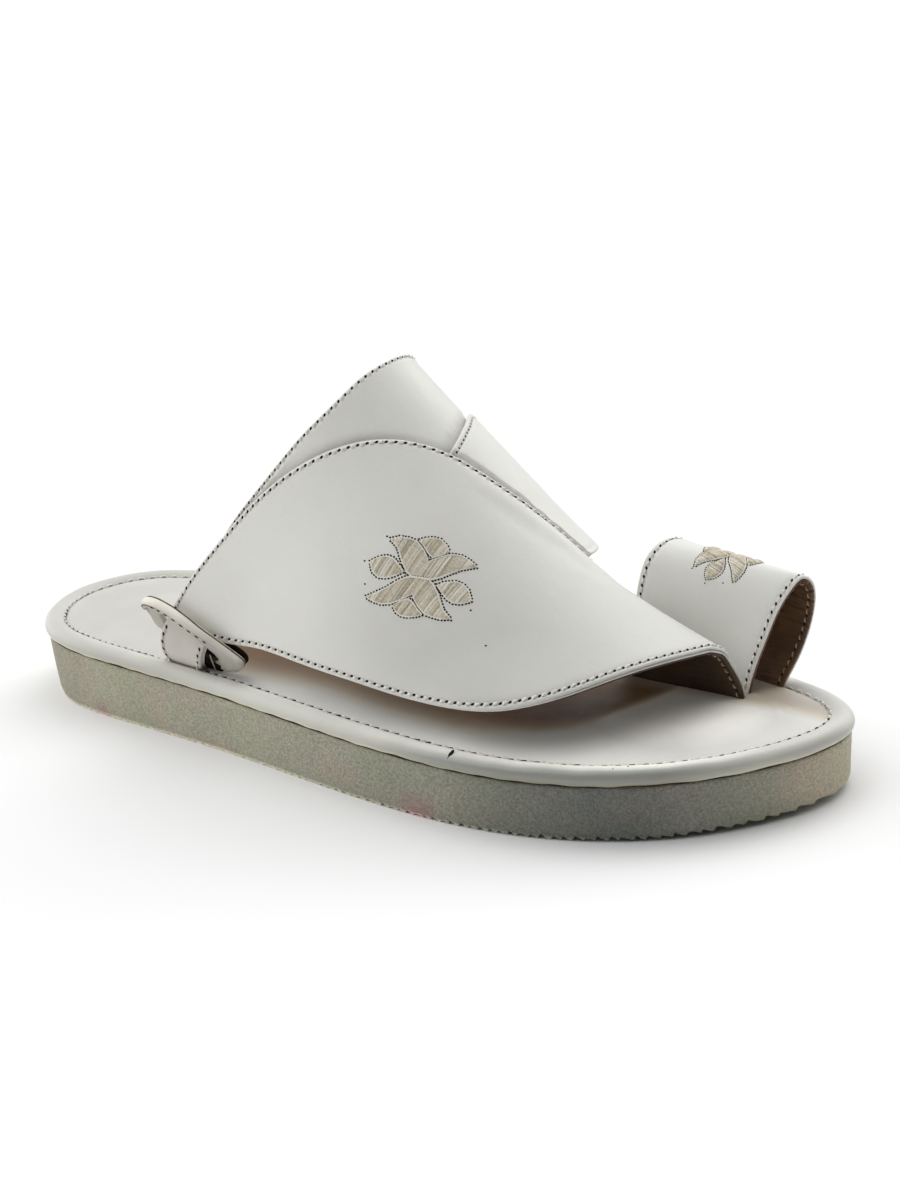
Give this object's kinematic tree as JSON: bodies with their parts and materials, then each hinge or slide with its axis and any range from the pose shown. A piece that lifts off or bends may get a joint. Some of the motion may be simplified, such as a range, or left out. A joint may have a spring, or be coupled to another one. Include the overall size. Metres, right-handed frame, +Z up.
{
  "type": "toe-loop sandal",
  "caption": "Leather sandal with a crossed instep, open toe, big-toe loop, side keepers, padded insole and thick foam sole.",
  "frame": {"origin": "middle of the bounding box, on the floor under the sole", "axes": "+X to the toe, +Y to the inner (big-toe) side of the right foot, +Z up"},
  "size_m": [0.2864, 0.1078, 0.1208],
  "materials": {
    "leather_white": "semi-matt smooth leather",
    "leather_footbed": "semi-matt padded leather",
    "foam_grey": "matt microcellular foam rubber"
  },
  "bodies": {
    "root": {"outsole": "foam_grey", "rim": "leather_white", "insole": "leather_footbed", "upper": "leather_white", "toe_loop": "leather_white", "keeper_outer": "leather_white", "keeper_inner": "leather_white"}
  },
  "joints": []
}
